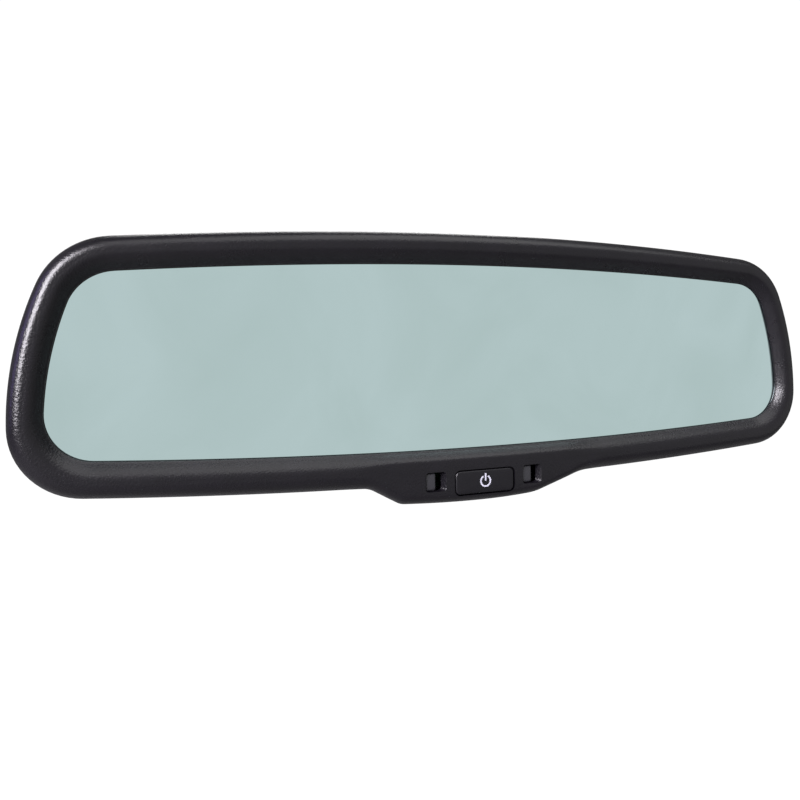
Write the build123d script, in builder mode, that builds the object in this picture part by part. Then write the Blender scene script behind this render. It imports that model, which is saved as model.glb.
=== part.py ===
"""Interior self-dimming rearview mirror on a two-ball stem.

Millimetres, +Z up, +X to the viewer's right, the glass faces -Y.
The origin is the centre of the windscreen button's bonded face.
"""
from build123d import *
from math import asin, cos, radians, sin, sqrt, tan
import os

os.makedirs("parts", exist_ok=True)

# ---------------------------------------------------------------- driving dimensions
# place of the head and of the two balls, from the origin
rake = 30.0                # windscreen above the horizontal, degrees
stem_drop = 26.0           # stem axis below the origin
foot_ball_back = 24.0      # foot ball in front of the origin, towards the driver
ball_distance = 48.0       # between the two ball centres
swing = 20.0               # each way, of either ball, degrees

# outline of the window in the bezel
window_half_width = 119.9  # on the level of the glass centre
window_height = 55.9
window_slant = 11.96
window_side_radius = 93.1
window_top_radius = 1395.0
window_bottom_radius = 1809.0
window_top_corner = 13.7
window_bottom_corner = 12.1

# bezel strip round the window
side_strip = 8.5
top_strip = 9.4
bottom_strip = 10.4
rim_slant = 11.07
rim_side_radius = 93.2
rim_top_radius = 1213.0
rim_bottom_radius = 1501.0
rim_top_corner = 21.3
rim_bottom_corner = 18.2

# bezel and cover
wall = 2.2
crest = 3.5                # bezel proud of the glass
rim_rounding = 5.0
window_rounding = 2.5
parting = 9.0              # joint between bezel and cover, behind the glass
cover_depth = 27.0         # back of the cover, behind the glass
tongue_height = 2.5
tongue_wall = 1.2
tongue_break = 58.0        # half width left free of the tongue beside the chin
cover_steps = [(0.0, 1.0), (0.28, 0.975), (0.61, 0.86), (0.89, 0.66), (1.0, 0.46)]  # share of depth, scale
lens_recess = 0.4          # sensor window below the back of the cover
overcut = 1.0              # cutting shapes reach this far past the faces they open
aperture_gap = 5.8         # stem tube to the edge of the opening

# chin
chin_shoulder = 36.2       # half width where the chin leaves the bezel
chin_foot_left = 26.7      # bottom corners from the middle: the left slope is the steeper one
chin_foot_right = 18.9
chin_drop = 5.2            # bottom corners below the bezel's bottom edge
chin_bow = 0.7             # middle of the bottom edge below its corners
chin_front = 3.3           # chin face proud of the glass
chin_rounding = 1.2
chin_tuck = 1.2            # chin's top above the start of the bezel's rounding
chin_wall = 1.4
chin_back_depth = 17.0
chin_back_rounding = 4.0

# button and the two pockets
button_width = 20.0
button_height = 7.2
button_rise = 0.4          # centre of the button above the bezel's bottom edge
button_corner = 1.6
button_proud = 0.4
button_gap = 0.3
button_cap = 3.2
button_edge = 0.5
button_flange = 0.8
flange_overhang = 1.0
button_post_radius = 2.2
button_travel = 0.5
symbol_radius = 1.6        # middle of the ring's line
symbol_line = 0.5
symbol_depth = 0.3
symbol_mouth = 1.6         # width of the gap in the ring
symbol_bar = 1.9           # length of the bar
pocket_offset = 16.6
pocket_width = 6.6
pocket_height = 5.6
pocket_rise = 1.4          # centre of the pockets above the bezel's bottom edge
pocket_depth = 1.1
pocket_corner = 0.8
light_guide_width = 4.6
light_guide_height = 3.6
light_guide_corner = 0.6
light_guide_collar = 0.6   # collar that stops the guide behind the chin wall

# dimming cell
glass_overlap = 2.0        # glass hidden behind the bezel lip, all round
plate_thickness = 1.8
cell_gap = 0.3
seal_width = 2.0
rear_plate_step = 1.2      # rear plate smaller than the front one, all round
clip_sheet = 0.3
clip_half_length = 90.0
clip_grip = 2.0
foam_thickness = 1.0
carrier_sheet = 2.0
carrier_margin = 1.0       # carrier larger than the glass, all round

# electronics
board_standoff = 2.5
board_thickness = 1.6
board_half_width = 62.0
board_corner = 2.0
board_top = 16.0
board_inset = 0.1          # board's lower edge above the window's
tongue_half_width = 22.0
tongue_margin = 2.8        # tongue below the button's centre
fit_gap = 0.3              # air between neighbours that aren't fastened
chip_size = (10.0, 10.0, 1.4)
chip_place = (36.0, -14.0)
chip_bevel = 0.3
led_size = (3.0, 2.4, 1.2)
sensor_size = (3.4, 3.4, 1.3)
ambient_place = (46.0, 8.0)
ambient_guide_radius = 2.5
ambient_guide_rounding = 0.8
switch_side = 6.0
switch_corner = 0.6
switch_height = 3.2
plunger_radius = 1.5
plunger_height = 1.2

# wiring socket
socket_place = (-41.0, 2.0)
socket_width = 20.0
socket_height = 10.0
socket_wall = 1.5
socket_recess = 1.0        # mouth below the back of the cover
socket_floor = 2.5
socket_corner = 1.0
latch_slot = 4.0           # slot in the upper wall for the plug's latch
pin_count = 6
pin_pitch = 2.5
pin_side = 0.64
pin_reach = 6.0

# pivot plate and posts
post_half_x = 22.0
post_half_z = 9.0
post_radius = 3.5
pivot_front = 15.5         # front of the pivot plate, behind the glass
pivot_sheet = 2.0
pivot_margin = 5.0         # plate beyond the post centres
pivot_corner = 4.0
screw_radius = 1.5
screw_head_radius = 2.8
screw_head_height = 1.6
cross_length = 2.6         # driver recess
cross_width = 0.6
screw_length = 8.0
board_screw_length = 4.0
board_post = (57.0, 9.0)
board_post_radius = 3.0

# ball joints and stem
ball_radius = 8.0
running_gap = 0.08
ring_wall = 1.25
ring_mouth_angle = 52.0
ring_rear = 0.8            # ring reaches this far past the ball's middle
tube_wall = 1.85
lip_angle = 60.0
cup_gap = 0.35
cup_floor = 3.0
neck_radius = 3.5
neck_flare = 1.0
stud_flange_radius = 8.5
stud_flange = 1.2
stud_shank_radius = 3.0
spring_wire = 1.0
spring_radius = 6.0
spring_turns = 5

# foot and windscreen button
screen_button_width = 22.0
screen_button_length = 30.0
screen_button_thickness = 5.0
screen_button_bevel = 1.6
foot_width = 32.0
foot_length = 36.0
foot_cover = 5.0           # foot metal under the windscreen button
foot_clearance = 0.6       # foot to the windscreen
slide_gap = 0.1
boss_half_width = 9.0
boss_thickness = 8.0
boss_skin = 2.0            # metal left in front of the stud's shank
boss_edge = 1.2
saddle_edge = 1.5
saddle_corner = 4.0
boss_reach = 9.0           # boss below the stem axis
boss_overlap = 2.0         # boss into the saddle
stud_gap = 1.6             # stem tube to the stud's flange
set_screw_radius = 2.5
set_screw_length = 9.0
set_screw_place = 11.0
set_screw_bevel = 0.4
hex_radius = 1.4
hex_depth = 2.5
pad_radius = 5.0
pad_height = 2.0

# ---------------------------------------------------------------- derived places
window_top = window_height / 2
window_bottom = window_height / 2
rim_half_width = window_half_width + side_strip
rim_top = window_top + top_strip
rim_bottom = window_bottom + bottom_strip
chin_foot_level = rim_bottom + chin_drop
chin_bottom = chin_foot_level + chin_bow
button_level = rim_bottom - button_rise
pocket_level = rim_bottom - pocket_rise
board_bottom = window_bottom - board_inset
tongue_bottom = button_level + tongue_margin
cell_front_back = plate_thickness
gap_back = cell_front_back + cell_gap
rear_plate_back = gap_back + plate_thickness
clip_back = rear_plate_back + clip_sheet
foam_back = rear_plate_back + foam_thickness
carrier_back = foam_back + carrier_sheet
board_front = carrier_back + board_standoff
board_back = board_front + board_thickness
socket_depth = cover_depth - socket_recess - board_back
pivot_back = pivot_front + pivot_sheet
pivot_half_width = post_half_x + pivot_margin
pivot_half_height = post_half_z + pivot_margin
button_front = chin_front + button_proud
chin_wall_back = chin_front - chin_wall
seat_radius = ball_radius + running_gap
ring_outer = seat_radius + ring_wall
tube_bore = ring_outer + running_gap
tube_outer = tube_bore + tube_wall
aperture_radius = tube_outer + aperture_gap
cup_front = ring_outer * sin(asin(ring_rear / ring_outer) + radians(swing)) + fit_gap
cup_back = ball_radius + cup_floor
stud_face = tube_outer + stud_gap + stud_flange
foot_ball_y = -foot_ball_back
head_ball_y = foot_ball_y - ball_distance
glass_y = head_ball_y - stud_face - pivot_back
stem_z = -stem_drop


# ---------------------------------------------------------------- planes
def head_plane(depth):
    """Plane across the head, `depth` behind the front of the glass, seen from the front."""
    return Plane(origin=(0, glass_y + depth, stem_z), x_dir=(1, 0, 0), z_dir=(0, -1, 0))


def stem_plane(y):
    """Plane across the stem at `y`, seen from the front."""
    return Plane(origin=(0, y, stem_z), x_dir=(1, 0, 0), z_dir=(0, -1, 0))


def half_section(y, towards):
    """Plane through a ball centre for profiles turned about the stem axis.

    Sketch X is the distance from the axis, sketch Y runs from the ball centre along `towards`.
    """
    return Plane(origin=(0, y, stem_z), x_dir=(towards, 0, 0), z_dir=(0, 0, 1))


# on the bonded face: sketch Y runs down the windscreen
screen_plane = Plane(
    origin=(0, 0, 0),
    x_dir=(1, 0, 0),
    z_dir=(0, sin(radians(rake)), cos(radians(rake))),
)


# ---------------------------------------------------------------- outlines
def four_sided(
    half_width, slant, side_radius, top, top_radius, bottom, bottom_radius, corner_top, corner_bottom
):
    """A symmetric outline of four shallow arcs with rounded corners, wider at the bottom."""
    tilt = radians(slant)
    side_x = half_width - side_radius * cos(tilt)
    side_z = -side_radius * sin(tilt)

    def meet(level, radius, sign):
        x = half_width
        for _ in range(8):
            z = sign * (level - x * x / (2 * radius))
            x = side_x + sqrt(side_radius ** 2 - (z - side_z) ** 2)
        return x, z

    tx, tz = meet(top, top_radius, 1)
    bx, bz = meet(bottom, bottom_radius, -1)
    with BuildSketch(Plane.XY) as face:
        with BuildLine():
            ThreePointArc((-tx, tz), (0, top), (tx, tz))
            ThreePointArc((tx, tz), (half_width, 0), (bx, bz))
            ThreePointArc((bx, bz), (0, -bottom), (-bx, bz))
            ThreePointArc((-bx, bz), (-half_width, 0), (-tx, tz))
        make_face()
        fillet(face.vertices().sort_by(Axis.Y)[:2], corner_bottom)
        fillet(face.vertices().sort_by(Axis.Y)[-2:], corner_top)
    return face.sketch


def rim_outline(grow=0.0):
    return four_sided(
        rim_half_width + grow, rim_slant, rim_side_radius + grow,
        rim_top + grow, rim_top_radius + grow, rim_bottom + grow, rim_bottom_radius + grow,
        rim_top_corner + grow, rim_bottom_corner + grow,
    )


def window_outline(grow=0.0):
    return four_sided(
        window_half_width + grow, window_slant, window_side_radius + grow,
        window_top + grow, window_top_radius + grow, window_bottom + grow, window_bottom_radius + grow,
        window_top_corner + grow, window_bottom_corner + grow,
    )


def chin_outline(grow=0.0, top_level=None):
    """The chin: sloped shoulders, a nearly flat bottom."""
    level = rim_bottom - rim_rounding - chin_tuck if top_level is None else top_level
    rise = (rim_bottom - level) / chin_drop
    left_top = chin_shoulder + rise * (chin_shoulder - chin_foot_left)
    right_top = chin_shoulder + rise * (chin_shoulder - chin_foot_right)
    with BuildSketch(Plane.XY) as face:
        with BuildLine():
            Polyline(
                (chin_foot_right, -chin_foot_level), (right_top, -level),
                (-left_top, -level), (-chin_foot_left, -chin_foot_level),
            )
            ThreePointArc(
                (-chin_foot_left, -chin_foot_level), (0, -chin_bottom), (chin_foot_right, -chin_foot_level)
            )
        make_face()
        if grow:
            offset(amount=grow, kind=Kind.INTERSECTION)
    return face.sketch


def corner_grid():
    return [(sx * post_half_x, sz * post_half_z) for sx in (-1, 1) for sz in (-1, 1)]


def board_corners():
    return [(sx * board_post[0], sz * board_post[1]) for sx in (-1, 1) for sz in (-1, 1)]


def save(part, name):
    part.label = name
    export_step(part, f"parts/{name}.step")


# ================================================================ bezel
with BuildPart() as chin_block:
    with BuildSketch(head_plane(parting)):
        add(chin_outline())
    extrude(amount=parting + chin_front)
    fillet(chin_block.faces().sort_by(Axis.Y)[0].edges(), chin_rounding)

with BuildPart() as bezel:
    with BuildSketch(head_plane(parting)):
        add(rim_outline())
    extrude(amount=parting + crest)
    fillet(bezel.faces().sort_by(Axis.Y)[0].edges(), rim_rounding)
    with BuildSketch(head_plane(0)):
        add(window_outline())
    extrude(amount=crest, mode=Mode.SUBTRACT)
    with BuildSketch(head_plane(0)):
        add(window_outline())
    extrude(amount=-parting, mode=Mode.SUBTRACT)
    rim_face = bezel.faces().sort_by(Axis.Y)[0]
    fillet(rim_face.inner_wires()[0].edges(), window_rounding)
    add(chin_block.part)
    # cavity behind the lip, open into the chin
    with BuildSketch(head_plane(parting)):
        add(rim_outline(-wall))
        add(chin_outline(-chin_wall))
    extrude(amount=parting, mode=Mode.SUBTRACT)
    with BuildSketch(head_plane(0)):
        add(chin_outline(-chin_wall))
    extrude(amount=chin_wall_back, mode=Mode.SUBTRACT)
    # button opening, pockets and light-guide holes
    with BuildSketch(head_plane(0)):
        with Locations((0, -button_level)):
            RectangleRounded(button_width + 2 * button_gap, button_height + 2 * button_gap, button_corner)
    extrude(amount=crest + overcut, mode=Mode.SUBTRACT)
    with BuildSketch(head_plane(-chin_front + pocket_depth)):
        with Locations((-pocket_offset, -pocket_level), (pocket_offset, -pocket_level)):
            RectangleRounded(pocket_width, pocket_height, pocket_corner)
    extrude(amount=crest, mode=Mode.SUBTRACT)
    with BuildSketch(head_plane(0)):
        with Locations((-pocket_offset, -pocket_level), (pocket_offset, -pocket_level)):
            RectangleRounded(light_guide_width, light_guide_height, light_guide_corner)
    extrude(amount=crest, mode=Mode.SUBTRACT)
save(bezel.part, "bezel")

# ================================================================ back cover
with BuildPart() as chin_back:
    with BuildSketch(head_plane(chin_back_depth)):
        add(chin_outline())
    extrude(amount=chin_back_depth - parting)
    fillet(chin_back.faces().sort_by(Axis.Y)[-1].edges(), chin_back_rounding)

with BuildPart() as rear_housing:
    for share, size in cover_steps:
        with BuildSketch(head_plane(parting + share * (cover_depth - parting))):
            add(rim_outline())
            scale(by=size)
    loft()
    add(chin_back.part)
    # hollow
    for share, size in cover_steps:
        with BuildSketch(head_plane(parting + share * (cover_depth - wall - parting))):
            add(rim_outline(-wall))
            scale(by=size)
    loft(mode=Mode.SUBTRACT)
    with BuildSketch(head_plane(parting)):
        add(chin_outline(-chin_wall, top_level=rim_bottom - 2 * rim_rounding))
    extrude(amount=-(chin_back_depth - wall - parting), mode=Mode.SUBTRACT)
    # locating tongue inside the bezel wall, left out beside the chin
    with BuildSketch(head_plane(parting + wall)):
        add(rim_outline(-wall - fit_gap / 2))
        add(rim_outline(-wall - tongue_wall), mode=Mode.SUBTRACT)
        with Locations((0, -rim_bottom)):
            Rectangle(2 * tongue_break, 2 * rim_rounding, mode=Mode.SUBTRACT)
    extrude(amount=wall + tongue_height)
    # openings: stem, wiring socket and ambient window
    with BuildSketch(head_plane(cover_depth + overcut)):
        Circle(aperture_radius)
        with Locations(socket_place):
            Rectangle(socket_width + 2 * fit_gap, socket_height + 2 * fit_gap)
        with Locations(ambient_place):
            Circle(ambient_guide_radius + fit_gap)
    extrude(amount=(cover_depth - parting) / 2, mode=Mode.SUBTRACT)
save(rear_housing.part, "rear_housing")

# ================================================================ dimming cell
with BuildPart() as front_glass:
    with BuildSketch(head_plane(cell_front_back)):
        add(window_outline(glass_overlap))
    extrude(amount=plate_thickness)
save(front_glass.part, "front_glass")

with BuildPart() as cell_seal:
    with BuildSketch(head_plane(gap_back)):
        add(window_outline(glass_overlap - rear_plate_step))
        add(window_outline(glass_overlap - rear_plate_step - seal_width), mode=Mode.SUBTRACT)
    extrude(amount=cell_gap)
save(cell_seal.part, "cell_seal")

with BuildPart() as ec_gel:
    with BuildSketch(head_plane(gap_back)):
        add(window_outline(glass_overlap - rear_plate_step - seal_width))
    extrude(amount=cell_gap)
save(ec_gel.part, "ec_gel")

with BuildPart() as rear_glass:
    with BuildSketch(head_plane(rear_plate_back)):
        add(window_outline(glass_overlap - rear_plate_step))
    extrude(amount=plate_thickness)
save(rear_glass.part, "rear_glass")


def bus_clip(side):
    """Spring clip on the long edge of the rear plate: a leg beside the edge and a flange behind it."""
    edge = glass_overlap - rear_plate_step
    middle = side * (window_top + window_bottom) / 2
    with BuildPart() as clip:
        with BuildSketch(head_plane(clip_back)):
            add(window_outline(edge + clip_sheet))
            add(window_outline(edge), mode=Mode.SUBTRACT)
            with Locations((0, middle)):
                Rectangle(2 * clip_half_length, window_top, mode=Mode.INTERSECT)
        extrude(amount=clip_back - gap_back)
        with BuildSketch(head_plane(clip_back)):
            add(window_outline(edge + clip_sheet))
            add(window_outline(edge - clip_grip), mode=Mode.SUBTRACT)
            with Locations((0, middle)):
                Rectangle(2 * clip_half_length, window_top, mode=Mode.INTERSECT)
        extrude(amount=clip_sheet)
    return clip.part


save(bus_clip(1), "upper_bus_clip")
save(bus_clip(-1), "lower_bus_clip")

with BuildPart() as foam_pad:
    with BuildSketch(head_plane(foam_back)):
        add(window_outline(glass_overlap - rear_plate_step - clip_grip - fit_gap))
    extrude(amount=foam_thickness)
save(foam_pad.part, "foam_pad")

# ================================================================ carrier
with BuildPart() as mirror_carrier:
    with BuildSketch(head_plane(carrier_back)):
        add(window_outline(glass_overlap + carrier_margin))
    extrude(amount=carrier_sheet)
    with BuildSketch(head_plane(carrier_back)):
        with Locations(*corner_grid()):
            Circle(post_radius)
    extrude(amount=-(pivot_front - carrier_back))
    with BuildSketch(head_plane(carrier_back)):
        with Locations(*board_corners()):
            Circle(board_post_radius)
    extrude(amount=-board_standoff)
    with BuildSketch(head_plane(pivot_front)):
        with Locations(*corner_grid()):
            Circle(screw_radius)
    extrude(amount=screw_length - pivot_sheet, mode=Mode.SUBTRACT)
    with BuildSketch(head_plane(board_front)):
        with Locations(*board_corners()):
            Circle(screw_radius)
    extrude(amount=board_screw_length - board_thickness, mode=Mode.SUBTRACT)
save(mirror_carrier.part, "mirror_carrier")

# ================================================================ electronics
with BuildPart() as circuit_board:
    with BuildSketch(head_plane(board_back)):
        with Locations((0, (board_top - board_bottom) / 2)):
            RectangleRounded(2 * board_half_width, board_top + board_bottom, board_corner)
        with Locations((0, -tongue_bottom / 2)):
            Rectangle(2 * tongue_half_width, tongue_bottom)
        with Locations(*corner_grid()):
            Circle(post_radius + fit_gap, mode=Mode.SUBTRACT)
        with Locations(*board_corners()):
            Circle(screw_radius, mode=Mode.SUBTRACT)
    extrude(amount=board_thickness)
save(circuit_board.part, "circuit_board")


def screw_group(places, seat, length):
    """Pan-head screws driven from the back, heads on the plane `seat`."""
    with BuildPart() as screws:
        with BuildSketch(head_plane(seat)):
            with Locations(*places):
                Circle(screw_radius)
        extrude(amount=length)
        with BuildSketch(head_plane(seat + screw_head_height)):
            with Locations(*places):
                Circle(screw_head_radius)
        extrude(amount=screw_head_height)
        rims = screws.edges().filter_by(GeomType.CIRCLE).group_by(Axis.Y)[-1]
        fillet(rims, screw_head_height / 2)
        with BuildSketch(head_plane(seat + screw_head_height)):
            with Locations(*places):
                Rectangle(cross_length, cross_width)
                Rectangle(cross_width, cross_length)
        extrude(amount=screw_head_height / 2, mode=Mode.SUBTRACT)
    return screws.part


save(screw_group(board_corners(), board_back, board_screw_length), "board_screws")
save(screw_group(corner_grid(), pivot_back, screw_length), "pivot_screws")

with BuildPart() as control_chip:
    with BuildSketch(head_plane(board_back)):
        with Locations(chip_place):
            Rectangle(chip_size[0], chip_size[1])
    extrude(amount=-chip_size[2])
    chamfer(control_chip.faces().sort_by(Axis.Y)[-1].edges(), chip_bevel)
save(control_chip.part, "control_chip")

with BuildPart() as tact_switch:
    with BuildSketch(head_plane(board_front)):
        with Locations((0, -button_level)):
            RectangleRounded(switch_side, switch_side, switch_corner)
    extrude(amount=switch_height)
    with BuildSketch(head_plane(board_front - switch_height)):
        with Locations((0, -button_level)):
            Circle(plunger_radius + running_gap)
    extrude(amount=-plunger_height - button_travel, mode=Mode.SUBTRACT)
save(tact_switch.part, "tact_switch")

with BuildPart() as switch_plunger:
    with BuildSketch(head_plane(board_front - switch_height + plunger_height)):
        with Locations((0, -button_level)):
            Circle(plunger_radius)
    extrude(amount=2 * plunger_height)
save(switch_plunger.part, "switch_plunger")

plunger_front = board_front - switch_height - plunger_height


def symbol_outline():
    """The power mark: a ring open at the top, with a bar in the opening."""
    with BuildSketch(Plane.XY) as mark:
        with Locations((0, -button_level)):
            Circle(symbol_radius + symbol_line / 2)
            Circle(symbol_radius - symbol_line / 2, mode=Mode.SUBTRACT)
        with Locations((0, -button_level + symbol_radius)):
            Rectangle(symbol_mouth, symbol_mouth, mode=Mode.SUBTRACT)
            Rectangle(symbol_line, symbol_bar)
    return mark.sketch


with BuildPart() as power_button:
    with BuildSketch(head_plane(-button_front + button_cap)):
        with Locations((0, -button_level)):
            RectangleRounded(button_width, button_height, button_corner - button_gap / 2)
    extrude(amount=button_cap)
    fillet(power_button.faces().sort_by(Axis.Y)[0].edges(), button_edge)
    with BuildSketch(head_plane(-chin_wall_back + fit_gap + button_flange)):
        with Locations((0, -button_level)):
            Rectangle(button_width + 2 * flange_overhang, button_height)
    extrude(amount=button_flange)
    with BuildSketch(head_plane(plunger_front - fit_gap)):
        with Locations((0, -button_level)):
            Circle(button_post_radius)
    extrude(amount=plunger_front - fit_gap + chin_wall_back - button_flange)
    with BuildSketch(head_plane(-button_front + symbol_depth)):
        add(symbol_outline())
    extrude(amount=symbol_depth, mode=Mode.SUBTRACT)
save(power_button.part, "power_button")

with BuildPart() as power_symbol:
    with BuildSketch(head_plane(-button_front + symbol_depth)):
        add(symbol_outline())
    extrude(amount=symbol_depth)
save(power_symbol.part, "power_symbol")


def light_guide(x, component_height):
    """Clear guide from the chin pocket back to the component on the board."""
    rear = board_front - component_height - fit_gap
    with BuildPart() as guide:
        with BuildSketch(head_plane(rear)):
            with Locations((x, -pocket_level)):
                RectangleRounded(
                    light_guide_width - slide_gap, light_guide_height - slide_gap,
                    light_guide_corner - slide_gap / 2,
                )
        extrude(amount=rear + chin_front - pocket_depth)
        with BuildSketch(head_plane(light_guide_collar - chin_wall_back)):
            with Locations((x, -pocket_level)):
                Rectangle(light_guide_width + 2 * light_guide_collar, light_guide_height)
        extrude(amount=light_guide_collar)
    return guide.part


def board_block(x, z, size, face, towards_front):
    with BuildPart() as block:
        with BuildSketch(head_plane(face)):
            with Locations((x, z)):
                Rectangle(size[0], size[1])
        extrude(amount=size[2] if towards_front else -size[2])
    return block.part


save(light_guide(-pocket_offset, led_size[2]), "indicator_lens")
save(light_guide(pocket_offset, sensor_size[2]), "glare_sensor_lens")
save(board_block(-pocket_offset, -pocket_level, led_size, board_front, True), "indicator_led")
save(board_block(pocket_offset, -pocket_level, sensor_size, board_front, True), "glare_sensor")
save(board_block(ambient_place[0], ambient_place[1], sensor_size, board_back, False), "ambient_sensor")

with BuildPart() as ambient_sensor_lens:
    with BuildSketch(head_plane(cover_depth - lens_recess)):
        with Locations(ambient_place):
            Circle(ambient_guide_radius)
    extrude(amount=cover_depth - lens_recess - board_back - sensor_size[2] - fit_gap)
    fillet(ambient_sensor_lens.edges().group_by(Axis.Y)[-1], ambient_guide_rounding)
save(ambient_sensor_lens.part, "ambient_sensor_lens")

with BuildPart() as wiring_socket:
    with BuildSketch(head_plane(board_back + socket_depth)):
        with Locations(socket_place):
            RectangleRounded(socket_width, socket_height, socket_corner)
    extrude(amount=socket_depth)
    with BuildSketch(head_plane(board_back + socket_depth)):
        with Locations(socket_place):
            Rectangle(socket_width - 2 * socket_wall, socket_height - 2 * socket_wall)
    extrude(amount=socket_depth - socket_floor, mode=Mode.SUBTRACT)
    with BuildSketch(head_plane(board_back + socket_depth)):
        with Locations((socket_place[0], socket_place[1] + socket_height / 2)):
            Rectangle(latch_slot, 2 * socket_wall + fit_gap)
    extrude(amount=socket_depth / 2, mode=Mode.SUBTRACT)
save(wiring_socket.part, "wiring_socket")

with BuildPart() as socket_pins:
    with BuildSketch(head_plane(board_back + socket_floor + pin_reach)):
        with Locations(socket_place):
            with GridLocations(pin_pitch, 0, pin_count, 1):
                Rectangle(pin_side, pin_side)
    extrude(amount=pin_reach)
save(socket_pins.part, "socket_pins")

# ================================================================ pivot plate and ball studs
with BuildPart() as pivot_plate:
    with BuildSketch(head_plane(pivot_back)):
        RectangleRounded(2 * pivot_half_width, 2 * pivot_half_height, pivot_corner)
        Circle(stud_shank_radius, mode=Mode.SUBTRACT)
        with Locations(*corner_grid()):
            Circle(screw_radius + slide_gap, mode=Mode.SUBTRACT)
    extrude(amount=pivot_sheet)
save(pivot_plate.part, "pivot_plate")


def ball_stud(y, towards, reach):
    """Ball, neck, flange seated at `stud_face` from the ball centre and a riveted shank `reach` long."""
    flange_top = stud_face - stud_flange
    with BuildPart() as stud:
        with BuildSketch(half_section(y, towards)):
            with BuildLine():
                Polyline(
                    (0, 0), (neck_radius, 0), (neck_radius, flange_top - neck_flare),
                    (neck_radius + neck_flare, flange_top),
                    (stud_flange_radius, flange_top), (stud_flange_radius, stud_face),
                    (stud_shank_radius, stud_face),
                    (stud_shank_radius, stud_face + reach), (0, stud_face + reach), close=True,
                )
            make_face()
        revolve(axis=Axis((0, y, stem_z), (0, 1, 0)))
        with Locations((0, y, stem_z)):
            Sphere(ball_radius)
    return stud.part


def seat_ring(y, towards):
    """Nylon ring between ball and tube: both faces are parts of spheres about the ball centre."""
    with BuildPart() as ring:
        with BuildSketch(half_section(y, towards)):
            Circle(ring_outer)
            Circle(seat_radius, mode=Mode.SUBTRACT)
            mouth = ring_outer * cos(radians(ring_mouth_angle))
            with Locations((ring_outer / 2, (mouth - ring_rear) / 2)):
                Rectangle(ring_outer, mouth + ring_rear, mode=Mode.INTERSECT)
        revolve(axis=Axis((0, y, stem_z), (0, 1, 0)))
    return ring.part


def ball_cup(y, towards):
    """Cup that the spring presses on the ball, on the stem's side of it."""
    radius = tube_bore - cup_gap
    with BuildPart() as cup:
        with BuildSketch(half_section(y, towards)):
            with Locations((radius / 2, -(cup_front + cup_back) / 2)):
                Rectangle(radius, cup_back - cup_front)
            Circle(seat_radius, mode=Mode.SUBTRACT)
        revolve(axis=Axis((0, y, stem_z), (0, 1, 0)))
    return cup.part


save(ball_stud(head_ball_y, -1, pivot_sheet), "head_ball_stud")
save(seat_ring(head_ball_y, -1), "head_seat_ring")
save(ball_cup(head_ball_y, -1), "head_ball_cup")
save(ball_stud(foot_ball_y, 1, boss_thickness - boss_skin), "foot_ball_stud")
save(seat_ring(foot_ball_y, 1), "foot_seat_ring")
save(ball_cup(foot_ball_y, 1), "foot_ball_cup")

# ================================================================ stem
with BuildPart() as stem_tube:
    with BuildSketch(stem_plane(foot_ball_y)):
        Circle(tube_outer)
    extrude(amount=ball_distance)
    with Locations((0, foot_ball_y, stem_z), (0, head_ball_y, stem_z)):
        Sphere(tube_outer)
    with BuildSketch(stem_plane(foot_ball_y)):
        Circle(tube_bore)
    extrude(amount=ball_distance, mode=Mode.SUBTRACT)
    with Locations((0, foot_ball_y, stem_z), (0, head_ball_y, stem_z)):
        Sphere(tube_bore, mode=Mode.SUBTRACT)
    mouth = tube_outer * cos(radians(lip_angle))
    with BuildSketch(stem_plane(foot_ball_y + mouth)):
        Circle(2 * tube_outer)
    extrude(amount=-tube_outer, mode=Mode.SUBTRACT)
    with BuildSketch(stem_plane(head_ball_y - mouth)):
        Circle(2 * tube_outer)
    extrude(amount=tube_outer, mode=Mode.SUBTRACT)
save(stem_tube.part, "stem_tube")

spring_room = ball_distance - 2 * cup_back
with BuildPart() as stem_spring:
    with BuildLine() as coil:
        Helix(
            pitch=(spring_room - 2 * spring_wire) / spring_turns, height=spring_room - 2 * spring_wire,
            radius=spring_radius, direction=(0, -1, 0),
            center=(0, foot_ball_y - cup_back - spring_wire, stem_z),
        )
    with BuildSketch(Plane(coil.line @ 0, z_dir=coil.line % 0)):
        Circle(spring_wire)
    sweep(path=coil.line, is_frenet=True)
save(stem_spring.part, "stem_spring")

# ================================================================ foot and windscreen button
with BuildPart() as windscreen_button:
    with BuildSketch(screen_plane):
        Rectangle(screen_button_width - 2 * screen_button_bevel, screen_button_length)
    with BuildSketch(screen_plane.offset(-screen_button_thickness)):
        Rectangle(screen_button_width, screen_button_length)
    loft(ruled=True)
save(windscreen_button.part, "windscreen_button")

foot_depth = screen_button_thickness + slide_gap + foot_cover
saddle_under = -(foot_ball_y + stud_face) * tan(radians(rake)) - foot_depth / cos(radians(rake))
boss_rise = saddle_under - stem_z + boss_overlap
set_screw_plane = screen_plane.offset(-(foot_depth + pad_height))
screen_normal = Axis((0, 0, 0), (0, sin(radians(rake)), cos(radians(rake))))
# boss that carries the ball stud, from below the stem axis up into the saddle
with BuildPart() as stud_boss:
    with BuildSketch(stem_plane(foot_ball_y + stud_face)):
        with Locations((0, (boss_rise - boss_reach) / 2)):
            SlotOverall(boss_rise + boss_reach, 2 * boss_half_width, rotation=90)
    extrude(amount=-boss_thickness)
    fillet(stud_boss.faces().sort_by(Axis.Y)[-1].edges(), boss_edge)
    fillet(stud_boss.faces().sort_by(Axis.Y)[0].edges(), boss_edge)

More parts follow.
